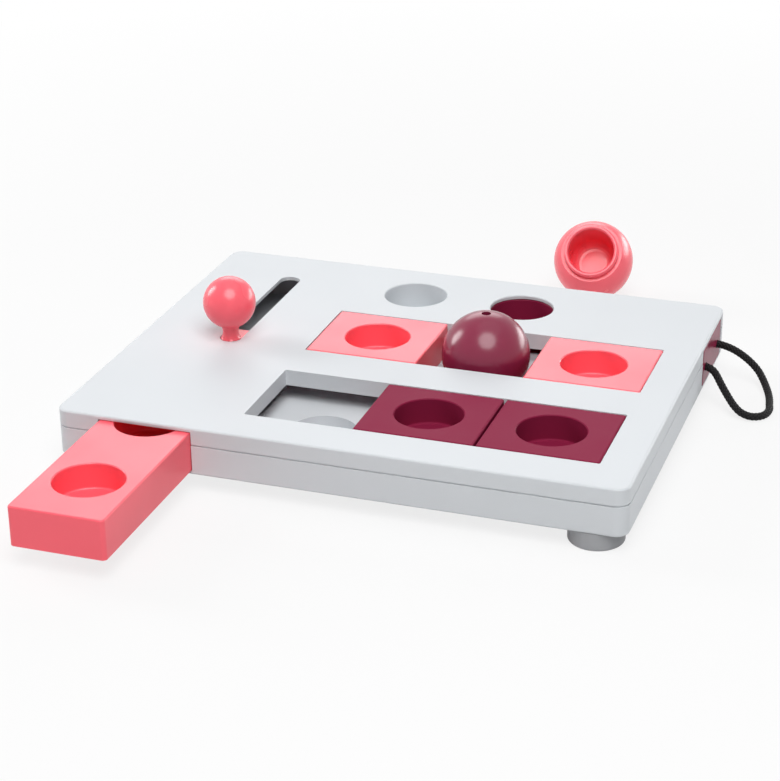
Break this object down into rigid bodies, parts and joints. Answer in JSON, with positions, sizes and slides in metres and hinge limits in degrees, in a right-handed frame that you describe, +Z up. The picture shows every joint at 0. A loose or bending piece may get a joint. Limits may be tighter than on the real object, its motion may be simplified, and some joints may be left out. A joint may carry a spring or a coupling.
{
  "type": "cat puzzle feeder",
  "caption": "Low board for hiding cat treats, with sliding tiles in tracks, a push drawer with a ball knob, a pull drawer on a rope loop, and lift-off domes.",
  "frame": {"origin": "under the middle of the board, on the surface that the feet stand on", "axes": "+X to the pull drawer's side, +Y to the back, away from the push drawer's front, +Z up"},
  "size_m": [0.2825, 0.3659, 0.0589],
  "materials": {
    "shell_plastic": "satin",
    "foot_rubber": "matte",
    "screw_steel": "plain",
    "pink_plastic": "satin",
    "berry_plastic": "gloss",
    "rope_cord": "braided"
  },
  "bodies": {
    "board": {"base_tray": "shell_plastic", "top_cover": "shell_plastic", "foot_front_left": "foot_rubber", "foot_front_right": "foot_rubber", "foot_rear_left": "foot_rubber", "foot_rear_right": "foot_rubber", "case_screws": "screw_steel"},
    "push_drawer": {"push_drawer": "pink_plastic", "push_knob": "pink_plastic", "knob_screw": "screw_steel"},
    "pull_drawer": {"pull_drawer": "berry_plastic", "pull_rope": "rope_cord", "rope_knots": "rope_cord"},
    "front_tile_left": {"front_tile_left": "berry_plastic"},
    "front_tile_right": {"front_tile_right": "berry_plastic"},
    "rear_tile_left": {"rear_tile_left": "pink_plastic"},
    "rear_tile_right": {"rear_tile_right": "pink_plastic"},
    "berry_dome": {"berry_dome_shell": "berry_plastic", "berry_dome_cup": "berry_plastic"},
    "pink_dome": {"pink_dome_shell": "pink_plastic", "pink_dome_cup": "pink_plastic"}
  },
  "joints": [
    {"name": "push_drawer_slide", "type": "slide", "parent": "board", "child": "push_drawer", "axis": [0, 1, 0], "range_m": [0, 0.0737]},
    {"name": "pull_drawer_slide", "type": "slide", "parent": "board", "child": "pull_drawer", "axis": [1, 0, 0], "range_m": [0, 0.07]},
    {"name": "front_tile_left_slide", "type": "slide", "parent": "board", "child": "front_tile_left", "axis": [-1, 0, 0], "range_m": [0, 0.0481]},
    {"name": "front_tile_right_slide", "type": "slide", "parent": "board", "child": "front_tile_right", "axis": [-1, 0, 0], "range_m": [0, 0.0481]},
    {"name": "berry_dome_lift", "type": "slide", "parent": "board", "child": "berry_dome", "axis": [0, 0, 1], "range_m": [0, 0.1]},
    {"name": "rear_tile_left_slide", "type": "slide", "parent": "board", "child": "rear_tile_left", "axis": [1, 0, 0], "range_m": [0, 0.045]},
    {"name": "rear_tile_right_slide", "type": "slide", "parent": "board", "child": "rear_tile_right", "axis": [-1, 0, 0], "range_m": [0, 0.003]},
    {"name": "pink_dome_lift", "type": "slide", "parent": "board", "child": "pink_dome", "axis": [0, 0, 1], "range_m": [0, 0.1]}
  ],
  "couplings": [
    {"joint": "front_tile_right_slide", "follows": "front_tile_left_slide", "ratio": 1},
    {"joint": "rear_tile_left_slide", "follows": "berry_dome_lift", "ratio": 0.45}
  ]
}
